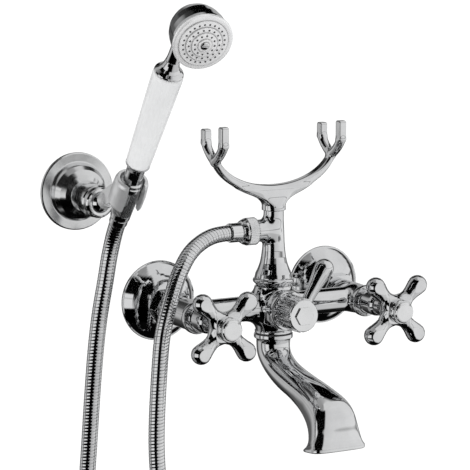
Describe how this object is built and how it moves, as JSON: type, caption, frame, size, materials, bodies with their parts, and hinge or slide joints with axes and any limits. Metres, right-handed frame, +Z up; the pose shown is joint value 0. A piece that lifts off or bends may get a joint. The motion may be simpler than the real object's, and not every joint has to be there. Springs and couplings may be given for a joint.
{
  "type": "wall mounted bath faucet",
  "caption": "Wall mounted retro bath mixer with cross handles, diverter lever, telephone cradle, wide spout, and a hand shower on a metal hose in a ball jointed wall holder.",
  "frame": {"origin": "midway between the two wall inlets, on the wall face", "axes": "+X to the right along the wall, +Y into the wall, +Z up"},
  "size_m": [0.29, 0.2567, 0.7127],
  "materials": {
    "chrome": "polished",
    "bright_chrome": "polished",
    "hose_chrome": "polished",
    "brass": "machined",
    "rubber": "matte",
    "ceramic": "satin",
    "porcelain": "gloss",
    "plastic": "matte"
  },
  "bodies": {
    "fixture": {"s_unions": "chrome", "wall_flanges": "chrome", "union_nuts": "chrome", "union_washers": "rubber", "body_casting": "chrome", "headworks": "brass", "seat_discs": "ceramic", "bonnets": "chrome", "diverter_cartridge": "brass", "diverter_bonnet": "chrome", "pillar": "chrome", "cradle_stud": "brass", "cradle": "chrome", "spout_nipple": "brass", "spout_seal": "rubber", "spout": "chrome", "hose_washer": "rubber", "hose_nut": "bright_chrome", "hose_ferrule": "bright_chrome", "hose_loop": "hose_chrome", "hose_riser": "hose_chrome", "bracket_plate": "brass", "bracket_screws": "bright_chrome", "bracket_flange": "chrome", "ball_socket": "chrome", "ball_seat": "plastic", "locking_ring": "bright_chrome"},
    "hot_tap": {"spindle_hot": "brass", "disc_hot": "ceramic", "handle_hot": "chrome", "handle_screw_hot": "brass", "index_cap_hot": "bright_chrome"},
    "cold_tap": {"spindle_cold": "brass", "disc_cold": "ceramic", "handle_cold": "chrome", "handle_screw_cold": "brass", "index_cap_cold": "bright_chrome"},
    "diverter": {"diverter_spindle": "brass", "diverter_lever": "chrome", "diverter_cap": "bright_chrome"},
    "holder": {"holder_ball": "bright_chrome", "holder_clip": "chrome"},
    "hand_shower": {"hose_tail": "hose_chrome", "tail_ferrule": "bright_chrome", "cone_nut": "bright_chrome", "cone_washer": "rubber", "lower_collar": "chrome", "handset_tube": "brass", "grip": "porcelain", "upper_collar": "chrome", "shower_head": "chrome", "spray_plate": "bright_chrome", "spray_screw": "bright_chrome"}
  },
  "joints": [
    {"name": "hot_tap_turn", "type": "hinge", "parent": "fixture", "child": "hot_tap", "pos_m": [-0.075, -0.1128, -0.0025], "axis": [0, -1, 0], "range_deg": [0, 90]},
    {"name": "cold_tap_turn", "type": "hinge", "parent": "fixture", "child": "cold_tap", "pos_m": [0.075, -0.1128, -0.0025], "axis": [0, -1, 0], "range_deg": [0, 90]},
    {"name": "diverter_turn", "type": "hinge", "parent": "fixture", "child": "diverter", "pos_m": [0, -0.0942, -0.0025], "axis": [0, -1, 0], "range_deg": [0, 64]},
    {"name": "holder_swivel", "type": "hinge", "parent": "fixture", "child": "holder", "pos_m": [-0.144, -0.04284, 0.08745], "axis": [0, -0.9962, -0.0872], "range_deg": [-25, 25], "deforming": ["hose_riser", "hose_tail"]},
    {"name": "handset_lift", "type": "slide", "parent": "holder", "child": "hand_shower", "axis": [0, -0.5878, 0.809], "range_m": [0, 0.06], "deforming": ["hose_riser", "hose_tail"]}
  ]
}
